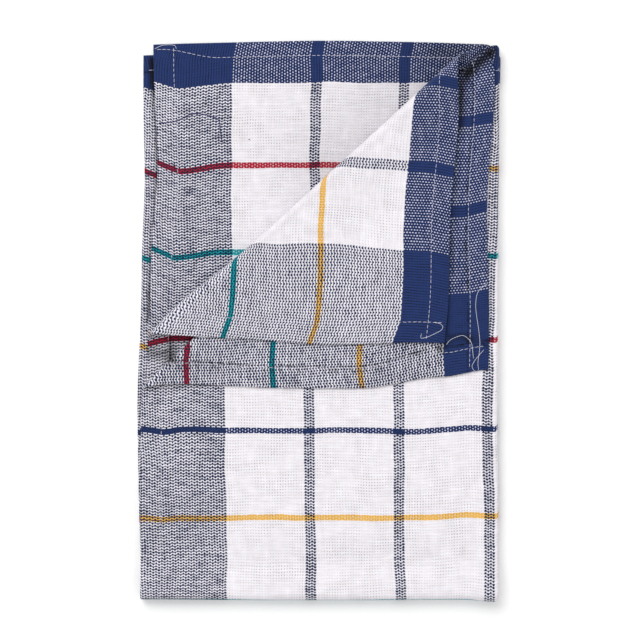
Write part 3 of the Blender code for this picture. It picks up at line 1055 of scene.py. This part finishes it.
def weft_stripe_colour(node, pick_middle):
    """(colour of the nearest stripe across the cloth, whether it is brighter than navy)."""
    kinds = len(WEFT_STRIPE_ORDER)
    repeats = calc(node, "DIVIDE", pick_middle, WEFT_REPEAT)
    number = calc(node, "ROUND", repeats)
    counted = calc(node, "MULTIPLY_ADD", number, 1 / kinds, WEFT_STRIPE_ORDER_START)
    share = calc(node, "FRACT", counted)
    colour = node("ValToRGB", {0: share})
    ramp = colour.node.color_ramp
    ramp.interpolation = "CONSTANT"
    for _ in range(kinds - len(ramp.elements)):
        ramp.elements.new(0.5)
    for index, yarn in enumerate(WEFT_STRIPE_ORDER):
        ramp.elements[index].position = index / kinds
        ramp.elements[index].color = yarn
    return colour, calc(node, "LESS_THAN", share, (kinds - 1) / kinds)


def streaks(node, across, along, size, detail):
    """Noise in spots of this size, across and along."""
    spot = node("CombineXYZ", {0: across, 1: along})
    scaled = node("VectorMath", {0: spot, 1: (*size, 1.0)}, operation="DIVIDE")
    return spots(node, scaled, 1.0, detail)


def hem_marks(node, place, column_middle):
    """(light left in the crack along a hem's turned edge, depth of the creases beside it).

    The hem's turned edge shows on the wrong side as a dark, ragged crack of painted shade. The
    sewing puckers the hem just past that edge, in short slanting creases drawn only as painted shade.
    """
    past = node("SeparateXYZ", {0: node("UVMap", {}, uv_map="hem")}).node.outputs
    from_side_edge = calc(node, "ABSOLUTE", past["X"])
    from_end_edge = calc(node, "ABSOLUTE", past["Y"])
    from_edge = calc(node, "MINIMUM", from_side_edge, from_end_edge)
    wobble = spots(node, place, YARN_WOBBLE.length, 0.0)
    from_crack = calc(node, "MULTIPLY_ADD", wobble, CRACK_RAGGEDNESS, from_edge)
    opening = spots(node, place, CRACK_LENGTH, 2.0)
    in_crack = remap(node, opening, 0.36, 0.6, 0.82, 0.2)
    crack_light = remap(node, from_crack, 0.75, 1.7, in_crack, 1.0)

    slant = (-PUCKER_SLANT, 1.0, 0.0)
    along_crease = node("VectorMath", {0: place, 1: slant}, operation="DOT_PRODUCT")
    from_middle = calc(node, "ABSOLUTE", column_middle)
    creases = streaks(node, from_middle, along_crease, (PUCKER_LENGTH, PUCKER_WIDTH), 1.0)
    pucker_shade = remap(node, creases, 0.52, 0.66, 0.0, 0.5)
    past_edge = remap(node, past["X"], 0.4, 1.6, **SMOOTH)
    runs_out = remap(node, past["X"], 6.5, 3.0, **SMOOTH)
    for near_edge in (past_edge, runs_out):
        pucker_shade = calc(node, "MULTIPLY", pucker_shade, near_edge)
    return crack_light, pucker_shade


def yarn_dyed_cotton():
    """Plain weave of soft cotton yarns, dyed before weaving.

    It is matt, with no gloss even where the yarn turns over. Where a warp pair passes over the
    weft it shows as an oval dot, and the weft runs on between the dots as a wavy line. Dark yarn
    greys the white yarn that crosses it, since the yarns are thin.
    """
    material, shader, node = new_material("yarn_dyed_cotton")
    place = node("UVMap", {}, uv_map="cloth")
    across, along = drifted(node, place)
    _, column, column_middle = count_off(node, across, WARP_COLUMN)
    beside_column = calc(node, "SUBTRACT", across, column_middle)

    # Picks were beaten up in pairs, more in some places than in others.
    pairing = spots(node, place, PAIRING_LENGTH, 1.0)
    pairing_size = remap(node, pairing, 0.35, 0.6, 0.06, 0.17, **SMOOTH)
    pick_turn = calc(node, "MULTIPLY", along, math.pi / PICK)
    pick_swing = calc(node, "SINE", pick_turn)
    paired = calc(node, "MULTIPLY_ADD", pick_swing, pairing_size, along)
    in_picks, pick, pick_middle = count_off(node, paired, PICK)

    # The nearest place in this column where the warp passes over the weft: every second pick,
    # one pick further on in the next column.
    shifted = calc(node, "SUBTRACT", in_picks, column)
    in_floats = calc(node, "MULTIPLY_ADD", shifted, 0.5, -0.25)
    float_number = calc(node, "ROUND", in_floats)
    beside_float = calc(node, "SUBTRACT", in_floats, float_number)
    crossing = node("CombineXYZ", {0: column, 1: float_number})
    chance = node("TexWhiteNoise", {"Vector": crossing}, noise_dimensions="2D")

    # Which yarn is in this column and in this pick.
    in_stripe, in_side_band = stripe_and_band(
        node, column_middle, WARP_REPEAT, WARP_STRIPE, SIDE_BAND_FROM
    )
    in_weft_stripe, in_end_band = stripe_and_band(
        node, pick_middle, WEFT_REPEAT, WEFT_STRIPE, END_BAND_FROM
    )
    dark_warp = calc(node, "MAXIMUM", in_stripe, in_side_band)
    warp = mix(node, dark_warp, WHITE_WARP, NAVY_WARP)
    stripe_colour, brighter = weft_stripe_colour(node, pick_middle)
    striped_weft = mix(node, in_weft_stripe, WHITE_WEFT, stripe_colour)
    weft = mix(node, in_end_band, striped_weft, NAVY_WEFT)
    bright_weft = calc(node, "MULTIPLY", in_weft_stripe, brighter)

    # Navy warp between navy picks is lit by them, and so looks bluer than between white ones.
    both_navy = calc(node, "MULTIPLY", dark_warp, in_end_band)
    warp = mix(node, both_navy, warp, NAVY_WARP_IN_NAVY)

    # White warp sinks between dyed picks, which were beaten up harder, and more between navy.
    dyed_weft = calc(node, "MAXIMUM", in_weft_stripe, in_end_band)
    white_warp = calc(node, "SUBTRACT", 1.0, dark_warp)
    sinks = calc(node, "MULTIPLY", dyed_weft, white_warp)
    not_bright = calc(node, "SUBTRACT", 1.0, bright_weft)
    sinks_in_navy = calc(node, "MULTIPLY", sinks, not_bright)

    # Yarns are uneven along their length: a thick place in a pick hides more of the warp.
    slub = streaks(node, across, pick, (PICK_SLUB_LENGTH, SLUB_YARNS), 2.0)
    column_slub = streaks(node, column, along, (SLUB_YARNS, COLUMN_SLUB_LENGTH), 2.0)
    slub_size = remap(node, slub, 0.24, 0.74, 0.74, 1.26)

    # The navy warp's dots are drawn smaller in the turned-back quarter, so its navy warp shows less.
    turned_navy_warp = dark_warp
    for side, limit, comparison in (
        (across, TURNED_QUARTER_ACROSS, "LESS_THAN"),
        (along, TURNED_QUARTER_ALONG, "GREATER_THAN"),
    ):
        in_quarter = calc(node, comparison, side, limit)
        turned_navy_warp = calc(node, "MULTIPLY", turned_navy_warp, in_quarter)
    dot_shrink = remap(node, turned_navy_warp, 0.0, 1.0, 1.0, 1.2)

    # Oval dots: from_dot is 0 at a float's middle and about 1 at its rim.
    oval = []
    for beside, half_size, sunk_share in (
        (beside_column, DOT_HALF_WIDTH, 1.4),
        (beside_float, DOT_HALF_LENGTH / (2 * PICK), 1.1),
    ):
        share = calc(node, "DIVIDE", beside, half_size)
        narrowing = remap(node, sinks, 0.0, 1.0, 1.0, sunk_share)
        oval.append(calc(node, "MULTIPLY", share, narrowing))
    oval_place = node("CombineXYZ", {0: oval[0], 1: oval[1]})
    from_dot = node("VectorMath", {0: oval_place}, operation="LENGTH")
    dot_size = remap(node, chance, 0.0, 1.0, 1.16, 0.88)
    for factor in (dot_size, slub_size, dot_shrink):
        from_dot = calc(node, "MULTIPLY", from_dot, factor)
    warp_shows = remap(node, from_dot, 1.14, 0.84, **SMOOTH)
    clear_of_dot = remap(node, from_dot, 1.08, 1.42, **SMOOTH)

    # Thin yarns let a little of what crosses under them show, and bright picks the most.
    shows_through = remap(node, bright_weft, 0.0, 1.0, 0.1, 0.5)
    warp_over_weft = mix(node, shows_through, warp, weft, "MULTIPLY")
    warp_over_weft = mix(node, sinks_in_navy, warp_over_weft, WHITE_IN_NAVY, "MULTIPLY")
    weft_over_warp = mix(node, 0.06, weft, warp, "MULTIPLY")

    # Beside a dot the warp slopes away under the weft, so the darker of the two shows.
    between_yarns = mix(node, 0.96, weft_over_warp, warp, "DARKEN")
    from_pair_middle = calc(node, "PINGPONG", in_picks, 1.0)
    weft_ridge = remap(node, from_pair_middle, 0.97, 0.66, **SMOOTH)
    weft_shows = calc(node, "MULTIPLY", weft_ridge, clear_of_dot)
    ground = mix(node, weft_shows, between_yarns, weft_over_warp)
    # Painted shade darkens the ground round white dots that sink between navy picks.
    ground_shade = remap(node, sinks_in_navy, 0.0, 1.0, 1.0, 0.66)
    shaded_ground = node("VectorMath", {0: ground, "Scale": ground_shade}, operation="SCALE")
    yarns = mix(node, warp_shows, shaded_ground, warp_over_weft)

    # Gaps where two columns meet between two pairs of picks are darkened with painted shade.
    aside = calc(node, "ABSOLUTE", beside_column)
    between_pairs = remap(node, from_pair_middle, 0.5, 0.9)
    between_columns = remap(node, aside, 0.38, 0.76)
    gap = calc(node, "MULTIPLY", between_pairs, between_columns)
    openness = spots(node, place, GAPS_LENGTH, 2.0)
    gap_depth = remap(node, openness, 0.36, 0.64, 0.08, 0.56)
    gap = calc(node, "MULTIPLY", gap, gap_depth)

    # Navy on navy hides its dots, and gets painted shade in the furrows between its warp columns.
    furrow_shade = remap(node, aside, 0.3, 0.8, **SMOOTH)
    furrow_depth = remap(node, column_slub, 0.35, 0.65, 0.2, 0.75)
    for factor in (furrow_depth, both_navy):
        furrow_shade = calc(node, "MULTIPLY", furrow_shade, factor)

    # Single yarns differ in shade at random. Painted shade darkens the gaps, the navy furrows, the
    # hems' cracks and puckers, and the strokes stored on the cloth's vertices.
    shade = remap(node, slub, 0.3, 0.7, 0.93, 1.03)
    column_shade = remap(node, column_slub, 0.3, 0.7, 0.94, 1.03)
    crack_light, pucker_shade = hem_marks(node, place, column_middle)
    # Painted shade stored on the cloth's vertices darkens its colour.
    painted_shade = node("Attribute", {}, "Fac", attribute_name=PAINTED_SHADE)
    for factor in (column_shade, crack_light):
        shade = calc(node, "MULTIPLY", shade, factor)
    for dark_share in (gap, furrow_shade, pucker_shade, painted_shade):
        light_share = calc(node, "SUBTRACT", 1.0, dark_share)
        shade = calc(node, "MULTIPLY", shade, light_share)

    # Relief: each float is a dome, and each pick a low ridge.
    dome = remap(node, from_dot, 1.3, 0.2, **SMOOTH)
    low_ridge = calc(node, "MULTIPLY", weft_ridge, 0.6)
    relief = calc(node, "MAXIMUM", dome, low_ridge)
    set_inputs(shader, {
        "Base Color": node("VectorMath", {0: yarns, "Scale": shade}, operation="SCALE"),
        "Normal": node("Bump", {"Strength": 0.5, "Distance": 0.25 * MM, "Height": relief}),
        "Roughness": 0.92,
        "Specular IOR Level": 0.12,
        "Sheen Weight": 0.08,
        "Sheen Roughness": 0.6,
    })
    return material


def sewing_cotton():
    """Mercerised cotton sewing thread, twisted: white, with a faint soft shine."""
    material, shader, node = new_material("sewing_cotton")
    ply = node("TexNoise", {"Scale": 260.0, "Detail": 1.0})
    set_inputs(shader, {
        "Base Color": mix(node, ply, linear("#B9B7CC"), linear("#EDEBF6")),
        "Roughness": 0.7,
        "Specular IOR Level": 0.3,
    })
    return material


def stray_yarn():
    """A fluffed end of dyed cotton yarn: matt, and paler than in the weave."""
    material, shader, _ = new_material("stray_yarn")
    set_inputs(shader, {
        "Base Color": linear("#2F2E62"),
        "Roughness": 0.95,
        "Specular IOR Level": 0.1,
    })
    return material


def studio_floor():
    """Frosted white acrylic, lit from below too, so that it reads as plain white."""
    material, shader, _ = new_material("studio_floor")
    set_inputs(shader, {
        "Base Color": linear("#F2F2F2"),
        "Emission Color": linear("#FFFFFF"),
        "Emission Strength": 0.06,
        "Roughness": 1.0,
        "Specular IOR Level": 0.0,
    })
    return material


def make_floor():
    floor = bmesh.new()
    bmesh.ops.create_grid(floor, x_segments=1, y_segments=1, size=3.0)
    made = add_piece("floor", floor, studio_floor())
    made.location.z = -FLOOR_DROP * MM


def light_studio():
    """Even light from all round, and one soft box above the towel's upper left."""
    world = bpy.data.worlds.new("studio")
    bpy.context.scene.world = world
    world.use_nodes = True
    sky = {"Color": linear("#FFFFFF"), "Strength": 0.81}
    set_inputs(world.node_tree.nodes["Background"], sky)
    box = bpy.data.lights.new("soft_box", "AREA")
    box.shape = "DISK"
    box.size = 2.6
    box.energy = 74.0
    lamp = placed("soft_box", box)
    lamp.location = Vector((-1.2, 2.1, 2.4))
    lamp.rotation_euler = (-lamp.location).to_track_quat("-Z", "Y").to_euler()


def place_camera():
    lens = bpy.data.cameras.new("camera")
    lens.sensor_width = SENSOR_WIDTH
    lens.lens = SENSOR_WIDTH * CAMERA_HEIGHT / FRAME_WIDTH
    camera = placed("camera", lens)
    camera.location = Vector((CAMERA_X, CAMERA_Y, CAMERA_HEIGHT + TOP_SURFACE)) * MM
    bpy.context.scene.camera = camera


def main():
    bpy.context.scene.view_settings.view_transform = "Standard"
    noise.seed_set(WANDER_SEED)
    place_camera()
    light_studio()
    make_floor()

    flat = flat_cloth()
    cloth = add_piece("tea_towel_cloth", folded_cloth(flat), yarn_dyed_cotton())
    flat.free()
    stitching = add_piece("hem_stitching", hem_stitching(), sewing_cotton())
    cloth_surface = BVHTree.FromObject(cloth, bpy.context.evaluated_depsgraph_get())
    sewing_ends = lying_threads(LOOSE_SEWING, cloth_surface, SEWING_RADIUS)
    loose = add_piece("loose_sewing", sewing_ends, stitching.active_material)
    yarn_ends = lying_threads(STRAY_YARN, cloth_surface, STRAY_RADIUS)
    stray = add_piece("stray_yarn", yarn_ends, stray_yarn())

    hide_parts("towel")
    for piece in (cloth, stitching, loose, stray):
        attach(piece, "root")


main()
